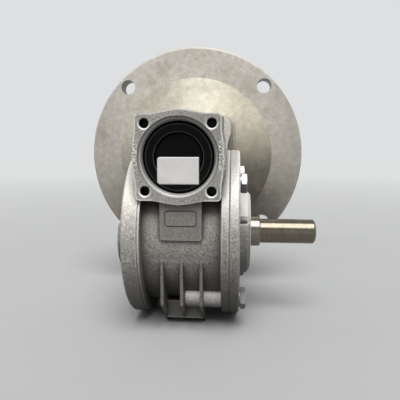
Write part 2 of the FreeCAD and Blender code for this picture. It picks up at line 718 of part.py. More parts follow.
def make_motor_adapter():
    body = new_body("motor_adapter", "worm_height")
    floor = "adapter_face + adapter_web"
    lip = "motor_face - adapter_pilot_depth"
    turned(body, "dished_flange", "YZ_Plane", [
        ("adapter_face", "adapter_bore / 2"), ("adapter_face", "adapter_pad / 2"),
        ("adapter_face + adapter_neck_depth", "adapter_pad / 2"),
        ("motor_flange_front", "adapter_dish_radius"),
        ("motor_flange_front", "adapter_diameter / 2 - adapter_edge"),
        ("motor_flange_front + adapter_edge", "adapter_diameter / 2"),
        ("motor_face - adapter_edge", "adapter_diameter / 2"),
        ("motor_face", "adapter_diameter / 2 - adapter_edge"),
        ("motor_face", "adapter_pilot / 2"), (lip, "adapter_pilot / 2"),
        (lip, "adapter_pilot / 2 - adapter_wall"),
        ("motor_flange_front + adapter_wall", "adapter_pilot / 2 - adapter_wall"),
        (floor, "adapter_floor_radius"), (floor, "adapter_bore / 2")])
    half = "adapter_pad / 2"
    pad = rounded_rectangle(body, "square_pad_outline", "XZ_Plane", f"-{half}", f"-{half}", half, half,
                            "adapter_pad_corner", "-adapter_face")
    padded(body, "square_pad", pad, "adapter_web / 2 + adapter_neck_depth", reverse=True)
    bore = circles(body, "shaft_hole_outline", "XZ_Plane", [("0", "0")], "adapter_bore / 2",
                   "-adapter_face + 1")
    pocketed(body, "shaft_hole", bore, "adapter_web + 2")
    corner = "adapter_bolt_circle / 2 * cos(45)"
    places = [(f"{sx} * {corner}", f"{sz} * {corner}") for sx in (-1, 1) for sz in (-1, 1)]
    bolts = circles(body, "motor_holes_outline", "XZ_Plane", places, "adapter_hole / 2",
                    "-motor_flange_front + 1")
    pocketed(body, "motor_holes", bolts, "adapter_thickness + 2")
    screws = circles(body, "screw_holes_outline", "XZ_Plane", square_of("rear_hole_pitch", "0"),
                     "screw_thread / 2 + slip", "-adapter_face + 1")
    pocketed(body, "screw_holes", screws, "adapter_web + 2")
    return body


def make_adapter_gasket():
    body = new_body("adapter_gasket", "worm_height")
    eared_block(body, "gasket", "0", "-rear_face", "gasket", True)
    bore = circles(body, "gasket_bore_outline", "XZ_Plane", [("0", "0")], "rear_bearing_outer / 2",
                   "-rear_face + 1")
    pocketed(body, "gasket_bore", bore, "gasket + 2")
    screws = circles(body, "gasket_holes_outline", "XZ_Plane", square_of("rear_hole_pitch", "0"),
                     "screw_thread / 2 + slip", "-rear_face + 1")
    pocketed(body, "gasket_holes", screws, "gasket + 2")
    return body


def make_cap():
    """The pressed cap in the front bore: a rim about a dished middle."""
    body = new_body("worm_end_cap", "worm_height")
    rim = "front_bearing_outer / 2 - slip"
    turned(body, "cap_shell", "YZ_Plane", [
        ("-cap_back - cap_floor / 2", "0"), ("-cap_front + cap_dish", "0"),
        ("-cap_front + cap_dish", "front_bearing_outer / 2 - cap_rim - 1"),
        ("-cap_front", "front_bearing_outer / 2 - cap_rim"),
        ("-cap_front", f"{rim} - cap_bevel"), ("-cap_front + cap_bevel", rim), ("-cap_back", rim),
        ("-cap_back", f"{rim} - cap_floor"), ("-cap_back - cap_floor / 2", f"{rim} - cap_floor")])
    return body


def make_ring(label, plane, z, start, end, inner, outer, angle=360):
    """A plain turned ring between two stations of its axis."""
    body = new_body(label, z)
    turned(body, "ring", plane, [(start, inner), (start, outer), (end, outer), (end, inner)], angle=angle)
    return body


def make_bearing(label, plane, z, start, width, bore, outer):
    """A sealed bearing: the outer ring carries both shields and the inner ring turns inside them."""
    wall = f"ring_share * ({outer} - {bore}) / 2"
    inner_face = f"{bore} / 2 + {wall}"
    outer_face = f"{outer} / 2 - {wall}"
    shield = f"{inner_face} + running_gap"
    near = f"{start} + shield_recess"
    far = f"{start} + {width} - shield_recess"
    make_ring(label + "_inner", plane, z, start, f"{start} + {width}", f"{bore} / 2", inner_face)
    body = new_body(label + "_outer", z)
    turned(body, "shielded_ring", plane, [
        (start, f"{outer} / 2"), (start, outer_face), (near, outer_face), (near, shield),
        (f"{near} + shield_thickness", shield), (f"{near} + shield_thickness", outer_face),
        (f"{far} - shield_thickness", outer_face), (f"{far} - shield_thickness", shield),
        (far, shield), (far, outer_face), (f"{start} + {width}", outer_face),
        (f"{start} + {width}", f"{outer} / 2")])
    return body


def make_seal(label, plane, z, start, width, shaft, outer):
    """An oil seal: a U-shaped shell whose lip rides just clear of the shaft."""
    body = new_body(label, z)
    lip = f"{shaft} / 2 + slip"
    turned(body, "seal_ring", plane, [
        (start, f"{outer} / 2 - slip"), (f"{start} + {width}", f"{outer} / 2 - slip"),
        (f"{start} + {width}", lip), (f"{start} + {width} - 1.6", lip),
        (f"{start} + {width} - 1.6", f"{outer} / 2 - 2.2"), (start, f"{outer} / 2 - 2.2")])
    return body


def make_output_shaft():
    body = new_body("output_shaft", "axis_height")
    journal = "output_bearing_bore / 2"
    end = "shaft_step + output_length"
    turned(body, "turned_shaft", "XZ_Plane", [
        ("-left_bearing_out", "0"), ("-left_bearing_out", f"{journal} - shaft_chamfer"),
        ("-left_bearing_out + shaft_chamfer", journal), ("-wheel_hub_length / 2", journal),
        ("-wheel_hub_length / 2", "wheel_seat / 2"), ("wheel_hub_length / 2", "wheel_seat / 2"),
        ("wheel_hub_length / 2", "collar_radius"), ("right_bearing_in", "collar_radius"),
        ("right_bearing_in", journal), ("shaft_step - shaft_chamfer / 2", journal),
        ("shaft_step", f"{journal} - shaft_chamfer / 2"), ("shaft_step", "output_diameter / 2"),
        (f"{end} - shaft_chamfer", "output_diameter / 2"),
        (end, "output_diameter / 2 - shaft_chamfer"), (end, "0")])
    seat = outline(body, "wheel_key_seat_outline", "XZ_Plane", [
        ("-wheel_key_length / 2", "wheel_seat / 2 - wheel_key_seat"),
        ("wheel_key_length / 2", "wheel_seat / 2 - wheel_key_seat"),
        ("wheel_key_length / 2", "wheel_seat / 2 + 1"), ("-wheel_key_length / 2", "wheel_seat / 2 + 1")],
        "wheel_key_width / 2 + slip")
    pocketed(body, "wheel_key_slot", seat, "wheel_key_width + 2 * slip")
    floor = "(output_diameter / 2 - output_key_depth)"
    corners = []
    for out, across in ((floor, "-"), ("output_diameter", "-"), ("output_diameter", ""), (floor, "")):
        across = f"{across}output_key_width / 2"
        corners.append((f"{out} * cos(output_key_turn) - ({across}) * sin(output_key_turn)",
                        f"{out} * sin(output_key_turn) + ({across}) * cos(output_key_turn)"))
    slot = outline(body, "output_key_outline", "YZ_Plane", corners, f"{end} + 1")
    pocketed(body, "output_key_slot", slot, "output_key_length + 1")
    return body


def make_wheel_key():
    key = doc.addObject("Part::Box", "wheel_key")
    key.Label = "wheel_key"
    bind(key, Length="wheel_key_length - 2 * slip", Width="wheel_key_width", Height="wheel_key_height")
    place(key, "slip - wheel_key_length / 2", "-wheel_key_width / 2",
          "axis_height + wheel_seat / 2 - wheel_key_seat")
    parts.append(key)


def make_wheel_hub():
    body = new_body("wheel_hub", "axis_height")
    hub = "wheel_hub_length / 2"
    web = "wheel_web / 2"
    rim = "wheel_face_width / 2"
    ring = "wheel_rim_seat - 4"
    turned(body, "spider", "XZ_Plane", [
        (f"-{hub}", "wheel_seat / 2"), (f"-{hub}", "wheel_hub_outer / 2"), (f"-{web}", "wheel_hub_outer / 2"),
        (f"-{web}", ring), (f"-{rim}", ring), (f"-{rim}", "wheel_rim_seat"), (rim, "wheel_rim_seat"),
        (rim, ring), (web, ring), (web, "wheel_hub_outer / 2"), (hub, "wheel_hub_outer / 2"),
        (hub, "wheel_seat / 2")])
    top = "wheel_seat / 2 - wheel_key_seat + wheel_key_height + slip"
    slot = outline(body, "keyway_outline", "YZ_Plane", [
        ("-wheel_key_width / 2 - slip", "0"), ("wheel_key_width / 2 + slip", "0"),
        ("wheel_key_width / 2 + slip", top), ("-wheel_key_width / 2 - slip", top)],
        f"{hub} + 1")
    pocketed(body, "keyway", slot, "wheel_hub_length + 2")
    return body


def involute(angle):
    return math.tan(angle) - angle


def tooth_outline(x, turn):
    """The wheel's outline across its axis at x: one involute tooth in three steps, repeated."""
    teeth = int(round(value("wheel_teeth")))
    pitch = value("wheel_pitch_radius")
    pressure = math.radians(value("pressure_angle"))
    base = pitch * math.cos(pressure)
    half_tooth = (math.pi * value("tooth_module") / 2 - value("tooth_play")) / (2 * pitch)
    flank = []
    for radius in (value("wheel_root_radius"), pitch, value("wheel_tip_radius")):
        angle = math.acos(min(1.0, base / radius))
        flank.append((radius, half_tooth + involute(pressure) - involute(angle)))
    points = []
    for tooth in range(teeth):
        centre = math.pi / 2 + turn + (tooth + 0.5) * 2 * math.pi / teeth
        for radius, half in [(r, -h) for r, h in flank] + flank[::-1]:
            angle = centre + half
            points.append(FreeCAD.Vector(x, radius * math.cos(angle), radius * math.sin(angle)))
    return Part.makePolygon(points + points[:1])


def make_wheel_rim():
    """The bronze rim: its two tooth outlines are turned to the worm's lead angle and joined edge by edge."""
    half = value("wheel_face_width") / 2
    rise = value("tooth_module * worm_starts / 2 / worm_pitch_radius / wheel_pitch_radius")
    left, right = (tooth_outline(x, rise * x) for x in (-half, half))
    flanks = [Part.makeRuledSurface(a, b) for a, b in zip(left.Edges, right.Edges)]
    skin = Part.Shell(flanks + [Part.Face(left), Part.Face(right)])
    skin.sewShape()
    toothed = doc.addObject("Part::Feature", "toothed_blank")
    toothed.Shape = Part.Solid(skin)
    bore = doc.addObject("Part::Cylinder", "rim_bore")
    bind(bore, Radius="wheel_rim_seat", Height="wheel_face_width + 2")
    place(bore, x="-wheel_face_width / 2 - 1", axis=(0, 1, 0), angle=90)
    rim = doc.addObject("Part::Cut", "wheel_rim")
    rim.Label = "wheel_rim"
    rim.Base = toothed
    rim.Tool = bore
    place(rim, z="axis_height")
    parts.append(rim)


def make_worm():
    """The worm shaft: a turned core, its thread swept along a helix, and the motor bore and keyway."""
    body = doc.addObject("PartDesign::Body", "worm_core")
    half = "worm_thread_length / 2"
    front = "front_bearing_bore / 2"
    rear = "rear_bearing_bore / 2"
    nose = "-front_bearing_out - circlip / 2"
    turned(body, "turned_core", "YZ_Plane", [
        (nose, "0"), (nose, f"{front} - shaft_chamfer / 2"),
        (f"{nose} + shaft_chamfer / 2", front), ("-front_bearing_in", front),
        ("-front_bearing_in", "worm_root_radius"), (half, "worm_root_radius"),
        (half, "rear_shoulder_radius"), ("rear_bearing_in", "rear_shoulder_radius"),
        ("rear_bearing_in", rear), ("worm_end - shaft_chamfer / 2", rear),
        ("worm_end", f"{rear} - shaft_chamfer / 2"), ("worm_end", "motor_shaft / 2 + slip"),
        ("motor_bore_end", "motor_shaft / 2 + slip"), ("motor_bore_end", "0")])
    rise = "motor_shaft / 2 + motor_key_rise"
    slot = outline(body, "motor_keyway_outline", "XZ_Plane", [
        ("-motor_key_width / 2", "0"), ("motor_key_width / 2", "0"),
        ("motor_key_width / 2", rise), ("-motor_key_width / 2", rise)], "-worm_end - 1")
    pocketed(body, "motor_keyway", slot, "worm_end - rear_bearing_in + 1", reverse=True)

    threads = [make_thread(start) for start in range(int(round(value("worm_starts"))))]
    shaft = doc.addObject("Part::MultiFuse", "worm_shaft")
    shaft.Label = "worm_shaft"
    shaft.Shapes = [body] + threads
    place(shaft, z="worm_height")
    parts.append(shaft)


def make_thread(start):
    """One start of the worm's thread: a straight-sided section swept up a helix and cut to length."""
    tip = value("worm_tip_radius")
    pitch = value("worm_pitch_radius")
    sunk = value("worm_root_radius") - THREAD_SUNK
    slope = math.tan(math.radians(value("pressure_angle")))
    half = (math.pi * value("tooth_module") / 2 - value("tooth_play")) / 2
    wide = half + (pitch - sunk) * slope
    narrow = half - (tip - pitch) * slope
    # A quarter turn more brings the first thread under the worm at its middle, where it meets the wheel.
    turns = math.ceil(value("worm_thread_length / 2 / worm_lead")) + 0.25
    spread = FreeCAD.Rotation(FreeCAD.Vector(0, 0, 1), 360 * start / value("worm_starts"))
    foot = FreeCAD.Placement(FreeCAD.Vector(0, 0, -turns * value("worm_lead")), spread)
    path = doc.addObject("Part::Helix", f"thread_path_{start + 1}")
    bind(path, Pitch="worm_lead", Radius="worm_pitch_radius")
    path.Height = 2 * turns * value("worm_lead")
    path.Placement = foot
    section = doc.addObject("Part::Feature", f"thread_section_{start + 1}")
    section.Shape = Part.makePolygon([FreeCAD.Vector(r, 0, z) for r, z in (
        (sunk, -wide), (tip, -narrow), (tip, narrow), (sunk, wide), (sunk, -wide))])
    section.Placement = foot
    sweep = doc.addObject("Part::Sweep", f"thread_sweep_{start + 1}")
    sweep.Sections = [section]
    sweep.Spine = (path, ["Edge1"])
    sweep.Solid = True
    sweep.Frenet = True
    length = doc.addObject("Part::Cylinder", f"thread_length_{start + 1}")
    bind(length, Radius="worm_tip_radius + 1", Height="worm_thread_length")
    place(length, z="-worm_thread_length / 2")
    thread = doc.addObject("Part::Common", f"thread_{start + 1}")
    thread.Base = sweep
    thread.Tool = length
    thread.Placement = FreeCAD.Placement(FreeCAD.Vector(), FreeCAD.Rotation(FreeCAD.Vector(1, 0, 0), -90))
    return thread


def make_small_rings():
    """Bearings, seals, circlips and the spacer, all turned about their shaft's axis."""
    x_line = ("XZ_Plane", "axis_height")
    y_line = ("YZ_Plane", "worm_height")
    make_bearing("output_left_bearing", *x_line, "-left_bearing_out", "output_bearing_width",
                 "output_bearing_bore", "output_bearing_outer")
    make_bearing("output_right_bearing", *x_line, "right_bearing_in", "output_bearing_width",
                 "output_bearing_bore", "output_bearing_outer")
    make_bearing("worm_front_bearing", *y_line, "-front_bearing_out", "front_bearing_width",
                 "front_bearing_bore", "front_bearing_outer")
    make_bearing("worm_rear_bearing", *y_line, "rear_bearing_in", "rear_bearing_width",
                 "rear_bearing_bore", "rear_bearing_outer")
    make_seal("output_oil_seal", *x_line, "seal_in", "output_seal_width", "output_bearing_bore",
              "output_bearing_outer")
    make_seal("worm_oil_seal", *y_line, "rear_seal_in", "worm_seal_width", "rear_bearing_bore",
              "rear_bearing_outer")
    make_ring("wheel_spacer", *x_line, "-left_bearing_in", "-wheel_hub_length / 2",
              "output_bearing_bore / 2", "output_bearing_bore / 2 + spacer_wall")
    for name, start, bore in (("worm_front_circlip", "-front_bearing_out - circlip", "front_bearing_outer"),
                              ("worm_rear_circlip", "rear_bearing_out", "rear_bearing_outer")):
        edge = f"{bore} / 2 + circlip_reach - slip"
        make_ring(name, *y_line, start, f"{start} + circlip", f"{edge} - circlip_width", edge,
                  CIRCLIP_SWEEP)


def finish():
    """Checks every object of the document, then writes one file for each sub-part."""
    doc.recompute()
    for thing in doc.Objects:
        if "Invalid" in thing.State or "Error" in thing.State:
            raise RuntimeError(f"{thing.Name} failed: {thing.State}")
        if thing.TypeId in ("PartDesign::Pocket", "PartDesign::Groove"):
            if thing.BaseFeature.Shape.Volume - thing.Shape.Volume < 1e-3:
                raise RuntimeError(f"{thing.Name} cuts nothing")
    os.makedirs("parts", exist_ok=True)
    for part in parts:
        shape = part.Shape
        if shape.isNull() or not shape.isValid() or not shape.Solids:
            raise RuntimeError(f"{part.Label} has no sound solid")
        print(part.Label, len(shape.Solids), round(shape.Volume))
        shape.exportStep(f"parts/{part.Label}.step")


make_housing()
make_side_cover()
make_cover_gasket()
make_cover_bolts()
make_motor_adapter()
make_adapter_gasket()
make_adapter_screws()
make_cap()
make_small_rings()
make_output_shaft()
make_wheel_key()
make_wheel_hub()
make_wheel_rim()
make_worm()
finish()
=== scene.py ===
import json
import math

import bmesh
import bpy
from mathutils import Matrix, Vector, noise


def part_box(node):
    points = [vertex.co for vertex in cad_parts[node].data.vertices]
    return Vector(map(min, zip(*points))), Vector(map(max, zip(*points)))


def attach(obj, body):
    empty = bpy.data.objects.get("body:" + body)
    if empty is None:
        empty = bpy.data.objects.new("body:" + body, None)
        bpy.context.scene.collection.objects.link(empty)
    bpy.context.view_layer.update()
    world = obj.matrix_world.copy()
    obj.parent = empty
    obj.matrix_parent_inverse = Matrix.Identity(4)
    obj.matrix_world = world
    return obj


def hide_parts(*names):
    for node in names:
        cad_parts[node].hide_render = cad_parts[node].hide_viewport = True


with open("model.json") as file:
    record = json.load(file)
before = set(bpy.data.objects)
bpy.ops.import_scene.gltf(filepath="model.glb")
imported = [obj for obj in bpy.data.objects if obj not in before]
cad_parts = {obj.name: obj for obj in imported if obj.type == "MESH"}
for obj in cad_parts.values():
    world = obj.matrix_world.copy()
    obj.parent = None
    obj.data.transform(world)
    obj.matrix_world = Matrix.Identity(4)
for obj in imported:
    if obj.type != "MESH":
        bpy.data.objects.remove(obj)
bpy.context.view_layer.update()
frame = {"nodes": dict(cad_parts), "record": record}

NODES = frame["nodes"]
MOUNTS = {mount["name"]: mount for mount in frame["record"]["mounts"]}
MM = 0.001

# Stations read from the frame, in metres
CAP_LOW, CAP_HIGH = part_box("worm_end_cap")
WORM_HEIGHT = (CAP_LOW.z + CAP_HIGH.z) / 2
CAP_RADIUS = (CAP_HIGH.z - CAP_LOW.z) / 2
GASKET_LOW, GASKET_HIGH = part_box("cover_gasket")
SEAM = GASKET_LOW.x
AXIS_HEIGHT = GASKET_LOW.z / 2 + GASKET_HIGH.z / 2
COVER_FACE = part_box("cover_bolts")[1].x
SHAFT_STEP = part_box("output_shaft")[1].x - 35.7 * MM

# The drum, the cover and the feet, where their finish and their painted light and shade change
DRUM_RADIUS = 44.8 * MM
HUB_RADIUS = 26.7 * MM
RING_FACE = COVER_FACE - 3.8 * MM
RING_LEDGE = AXIS_HEIGHT + 13 * MM
RIM_TOP = AXIS_HEIGHT + 23 * MM
PAD_FACE = -46.2 * MM
PAD_TOP = CAP_LOW.z - 2 * MM
PAD_HALF = 14.5 * MM
RIB_FACE = -43.8 * MM
BOSS_RADIUS = 6.15 * MM
BOSS_ROOT = 2.2 * MM

# The square face at the front of the worm's tube, its bore and holes, and the rear plate
SQUARE_HALF = 22.3 * MM
SQUARE_BACK = -39 * MM
GATE_LOW = WORM_HEIGHT - 7 * MM
GATE_HIGH = WORM_HEIGHT + 9 * MM
BORE_RADIUS = CAP_RADIUS + 2.25 * MM
BORE_STEP = CAP_RADIUS + 0.9 * MM
BORE_LINE = (CAP_RADIUS + 0.95 * MM, CAP_RADIUS + 1.25 * MM)
BORE_RIM = (CAP_RADIUS + 2.1 * MM, CAP_RADIUS + 2.5 * MM)
BORE_BACK = -35.5 * MM
RIM_BACK = -47.5 * MM
FRONT_HOLES = MOUNTS["front_face_bolts"]
HOLE_OUT = FRONT_HOLES["dims"]["spacing_x_mm"] / 2 * MM
HOLE_RADIUS = FRONT_HOLES["dims"]["hole_r_mm"] * MM + 0.2 * MM
HOLE_START = FRONT_HOLES["pos_m"][1]
HOLE_END = -37.5 * MM
MOUTH_RADIUS = HOLE_RADIUS + 0.6 * MM
MOUTH_BACK = HOLE_START + 0.15 * MM
PLATE_FRONT = 36.9 * MM

# The motor flange
CONE_RADIUS = 59.5 * MM
CONE_BACK = 56.5 * MM
NECK_HALF = 31.3 * MM
NECK_RISE = 25 * MM
MOTOR_HOLES = MOUNTS["motor_bolts"]["dims"]
FLANGE_HOLE_OUT = MOTOR_HOLES["pcd_mm"] / 2 * math.cos(math.radians(45)) * MM
FLANGE_HOLE_RADIUS = MOTOR_HOLES["hole_r_mm"] * MM + 0.15 * MM

# The end cap's grey bevel ring and dish, and the sticker on it
BEVEL_INNER = CAP_RADIUS - 2.05 * MM
BEVEL_OUTER = CAP_RADIUS - 1.35 * MM
DISH_EDGE = CAP_RADIUS - 6.2 * MM
DISH_LINE = 0.4 * MM
STICKER_LOW = Vector((-11.8 * MM, 0, WORM_HEIGHT - 14.9 * MM))
STICKER_HIGH = Vector((11.3 * MM, 0, WORM_HEIGHT + 0.2 * MM))
STICKER_FACE = CAP_LOW.y - 0.03 * MM
STICKER_CORNER = 1.7 * MM
STICKER_THICKNESS = 0.12 * MM
STICKER_DIP = 0.5 * MM
STICKER_DIP_RADIUS = CAP_RADIUS * 0.68
STICKER_WAVE = 0.05 * MM
STICKER_WAVE_SIZE = 6 * MM

# The cover bolts: the angle above or below the output axis, the side, the length and the head's turn
BOLT_CIRCLE = 46 * MM
LOW_ANGLE = math.radians(47.5)
STEEP_ANGLE = math.radians(51.5)
UPPER_BOLT = (12 * MM, 0)
LOWER_BOLT = (25 * MM, math.radians(12))
BOLTS = ((LOW_ANGLE, -1, UPPER_BOLT), (STEEP_ANGLE, 1, UPPER_BOLT),
         (-STEEP_ANGLE, -1, LOWER_BOLT), (-LOW_ANGLE, 1, LOWER_BOLT))
BOLT_FLATS = 11.1 * MM
BOLT_HEAD = 4.0 * MM
BOLT_WASHER = 0.5 * MM
BOLT_THREAD = 6.35 * MM
BOLT_LEAD = 0.8 * MM
BOLT_CHAMFER = math.radians(30)
BOLT_TOP = 0.95
BOLT_COLLAR = 0.97

# The width of each node's rounded edges, in millimetres, and what counts as one point or one flat face
SOFT_EDGES = {"housing": 0.55, "side_cover": 0.45, "motor_adapter": 0.5, "worm_end_cap": 0.3,
              "output_shaft": 0.2, "adapter_screws": 0.25}
SHARP_ANGLE = math.radians(12)
SAME_POINT = 0.002 * MM
SAME_FACE = math.radians(0.6)

# The photograph's view
LENS = 36.97
CAMERA_AT = (0.0303, -0.2701, 0.1071)
CAMERA_NEAR = 0.01
PITCH_DOWN = 6.953
YAW_LEFT = 4.694

# Light: the sky's share of its full strength by height, and from left to right
SKY_STRENGTH = 0.5
SKY_BY_HEIGHT = ((-0.10, 0.45), (0.0, 0.45), (0.25, 0.60), (0.60, 1.0))
SKY_ACROSS = ((-0.80, 0.8), (-0.30, 1.0), (0.30, 1.0), (0.75, 0.45))
SKY_COLOUR = (1.0, 0.985, 0.955)
SUN_FROM = (0.08, -0.48, 1.0)
SUN_STRENGTH = 2.7
SUN_WIDTH = 44

# The backdrop's place is given by how far back, and how low, a direction points
BACKDROP = (0.73, 0.74, 0.75)
BACKDROP_FROM = (0.62, 0.75)
BACKDROP_BELOW = (0.50, 0.20)
FLOOR_HALF = 4
FLOOR_SEEN = (0.46, 0.465, 0.47)
FLOOR_FAR = (0.607, 0.615, 0.623)
FLOOR_FADE = (0.25, 1.5)
FLOOR_CAST = (0.10, 0.10, 0.10)


def link(thing):
    bpy.context.scene.collection.objects.link(thing)
    return thing


def mesh_object(name, build):
    """A new object whose mesh is filled in by build(bmesh)."""
    data = bpy.data.meshes.new(name)
    shape = bmesh.new()
    build(shape)
    shape.normal_update()
    shape.to_mesh(data)
    shape.free()
    return link(bpy.data.objects.new(name, data))


def smooth(thing):
    thing.data.polygons.foreach_set("use_smooth", [True] * len(thing.data.polygons))
    return thing


def bolt_places():
    """Where the cover bolts stand, across the output axis."""
    return [(side * BOLT_CIRCLE * math.cos(angle), AXIS_HEIGHT + BOLT_CIRCLE * math.sin(angle))
            for angle, side, _ in BOLTS]


# Nodes

class Graph:
    """A node tree in the making."""

    def __init__(self, tree):
        self.tree = tree

    def node(self, kind, **settings):
        made = self.tree.nodes.new(kind)
        for key, amount in settings.items():
            setattr(made, key, amount)
        return made

    def join(self, source, socket):
        """Feeds a socket from another one, or sets the number or colour given on it."""
        if isinstance(source, (int, float)):
            socket.default_value = source
        elif isinstance(source, tuple):
            socket.default_value = (*source, 1)
        else:
            self.tree.links.new(source, socket)

    def maths(self, operation, *terms):
        made = self.node("ShaderNodeMath", operation=operation)
        for socket, term in zip(made.inputs, terms):
            self.join(term, socket)
        return made.outputs[0]

    def both(self, *amounts):
        """The product of several amounts, high only where all of them are."""
        product = amounts[0]
        for amount in amounts[1:]:
            product = self.maths("MULTIPLY", product, amount)
        return product

    def either(self, *amounts):
        """The highest of several amounts."""
        highest = amounts[0]
        for amount in amounts[1:]:
            highest = self.maths("MAXIMUM", highest, amount)
        return highest

    def ramp(self, amount, low, high, start=0, end=1):
        """The amount, taken from low..high to start..end and held there."""
        made = self.node("ShaderNodeMapRange")
        for key, number in (("From Min", low), ("From Max", high), ("To Min", start), ("To Max", end)):
            made.inputs[key].default_value = number
        self.join(amount, made.inputs["Value"])
        return made.outputs[0]

    def seen(self):
        """1 for what is looked at, also in a gloss or through glass, and 0 for what lights the object."""
        path = self.node("ShaderNodeLightPath").outputs
        return self.either(*(path[f"Is {kind} Ray"] for kind in ("Camera", "Glossy", "Transmission")))


class Shader(Graph):
    """A material in the making: colour, roughness and bump are built up from procedural patterns."""

    # The range that noise mostly keeps to, and how closed a corner, and how open an edge, has to be
    NOISE_RANGE = (0.25, 0.75)
    CORNER_RANGE = (0.3, 0.95)
    EDGE_RANGE = (0.95, 0.55)

    def __init__(self, name, colour, roughness, metallic, specular=0.5):
        self.material = bpy.data.materials.new(name)
        self.material.use_nodes = True
        super().__init__(self.material.node_tree)
        self.surface = self.tree.nodes["Principled BSDF"]
        self.surface.inputs["Metallic"].default_value = metallic
        self.surface.inputs["Specular IOR Level"].default_value = specular
        self.place = self.node("ShaderNodeTexCoord").outputs["Object"]
        self.colour = colour
        self.roughness = roughness
        self.bump = None

    # Places on the surface

    def axis(self, letter):
        """One coordinate of the point being shaded, in metres."""
        parts = self.node("ShaderNodeSeparateXYZ")
        self.join(self.place, parts.inputs[0])
        return parts.outputs[letter]

    def facing(self, letter):
        """How far the surface faces along one of the object's own axes, from -1 to 1."""
        parts = self.node("ShaderNodeSeparateXYZ")
        self.join(self.node("ShaderNodeTexCoord").outputs["Normal"], parts.inputs[0])
        return parts.outputs[letter]

    def away(self, letter, middle=0):
        """The distance from a plane across one axis."""
        return self.maths("ABSOLUTE", self.maths("SUBTRACT", self.axis(letter), middle))

    def span(self, first, second):
        """The length of a diagonal, from its two sides."""
        return self.maths("SQRT", self.maths("ADD", self.maths("POWER", first, 2),
                                             self.maths("POWER", second, 2)))

    def radius(self, along, centre):
        """The distance from a line that runs along one axis through the centre given."""
        across = [letter for letter in "XYZ" if letter != along]
        return self.span(*(self.maths("SUBTRACT", self.axis(letter), middle)
                           for letter, middle in zip(across, centre)))

    def from_hole(self, out):
        """The distance from the nearest of four holes, that far out from the worm's axis each way."""
        return self.span(self.maths("SUBTRACT", self.away("X"), out),
                         self.maths("SUBTRACT", self.away("Z", WORM_HEIGHT), out))

    def past(self, amount, limit, soft):
        """1 above the limit and 0 below it, with a soft step of that many millimetres each way."""
        return self.ramp(amount, limit - soft * MM, limit + soft * MM)

    def under(self, amount, limit, soft):
        """1 below the limit and 0 above it."""
        return self.ramp(amount, limit + soft * MM, limit - soft * MM)

    def within(self, amount, low, high, soft):
        """1 between two limits."""
        return self.both(self.past(amount, low, soft), self.under(amount, high, soft))

    def hollows(self, reach, darkest=0):
        """How open each point is, within reach millimetres: darkest in a corner, 1 in the open."""
        made = self.node("ShaderNodeAmbientOcclusion", samples=8)
        made.inputs["Distance"].default_value = reach * MM
        return self.ramp(made.outputs["AO"], *self.CORNER_RANGE, darkest, 1)

    def corners(self, reach):
        """How enclosed each point is, within reach millimetres: 0 in the open, 1 in a corner."""
        return self.maths("SUBTRACT", 1, self.hollows(reach))

    def edges(self, reach):
        """How near a convex edge each point is, within reach millimetres: 0 on a face, up to 1."""
        made = self.node("ShaderNodeAmbientOcclusion", samples=8, inside=True)
        made.inputs["Distance"].default_value = reach * MM
        return self.ramp(made.outputs["AO"], *self.EDGE_RANGE)

    # Patterns

    def noise(self, size, detail=3, rough=0.55, stretch=(1, 1, 1)):
        """Noise whose features are about size millimetres, from 0 to 1."""
        spread = self.node("ShaderNodeMapping")
        for i in range(3):
            spread.inputs["Scale"].default_value[i] = stretch[i] / (size * MM)
        self.join(self.place, spread.inputs["Vector"])
        made = self.node("ShaderNodeTexNoise")
        made.inputs["Scale"].default_value = 1
        made.inputs["Detail"].default_value = detail
        made.inputs["Roughness"].default_value = rough
        self.join(spread.outputs[0], made.inputs["Vector"])
        return made.outputs["Fac"]

    def rings(self, distance, size):
        """Noise that changes only with a distance, for marks left by turning."""
        made = self.node("ShaderNodeTexNoise", noise_dimensions="1D")
        made.inputs["Scale"].default_value = 1 / (size * MM)
        made.inputs["Detail"].default_value = 2
        self.join(distance, made.inputs["W"])
        return made.outputs["Fac"]

    # What they do to the surface

    def mix(self, blend, factor, colour):
        """Blends another colour with the one so far."""
        made = self.node("ShaderNodeMix", data_type="RGBA", blend_type=blend)
        self.join(factor, made.inputs["Factor"])
        self.join(self.colour, made.inputs["A"])
        self.join(colour, made.inputs["B"])
        self.colour = made.outputs["Result"]

    def tint(self, amount, colour, strength=1, blend="MIX"):
        """Works another colour in where the amount is high."""
        self.mix(blend, self.maths("MULTIPLY", amount, strength), colour)

    def shade(self, factor):
        """Multiplies the colour by a factor that changes over the surface."""
        grey = self.node("ShaderNodeCombineColor")
        for socket in grey.inputs[:3]:
            self.join(factor, socket)
        self.mix("MULTIPLY", 1, grey.outputs[0])

    def factor_at(self, where, factor):
        """The factor where the amount is 1, and no change where it is 0."""
        return self.ramp(where, 0, 1, 1, factor)

    def shade_at(self, where, factor):
        """Multiplies the colour by the factor where the amount is high."""
        self.shade(self.factor_at(where, factor))

    def vary(self, amount, spread):
        """Makes the colour darker and lighter by the spread as the amount goes from 0 to 1."""
        self.shade(self.ramp(amount, *self.NOISE_RANGE, 1 - spread, 1 + spread))

    def roughen(self, amount, spread):
        """Makes the surface rougher where the amount is high and smoother where it is low."""
        change = self.ramp(amount, *self.NOISE_RANGE, -spread, spread)
        self.roughness = self.maths("ADD", self.roughness, change)

    def raise_by(self, amount, height):
        """Adds relief of that height in millimetres where the amount is high."""
        made = self.node("ShaderNodeBump")
        made.inputs["Strength"].default_value = 1
        made.inputs["Distance"].default_value = height * MM
        self.join(amount, made.inputs["Height"])
        if self.bump:
            self.join(self.bump, made.inputs["Normal"])
        self.bump = made.outputs["Normal"]

    def done(self):
        """The material, with all that was built up fed into its surface."""
        self.join(self.colour, self.surface.inputs["Base Color"])
        self.join(self.roughness, self.surface.inputs["Roughness"])
        if self.bump:
            self.join(self.bump, self.surface.inputs["Normal"])
        return self.material


# The casting

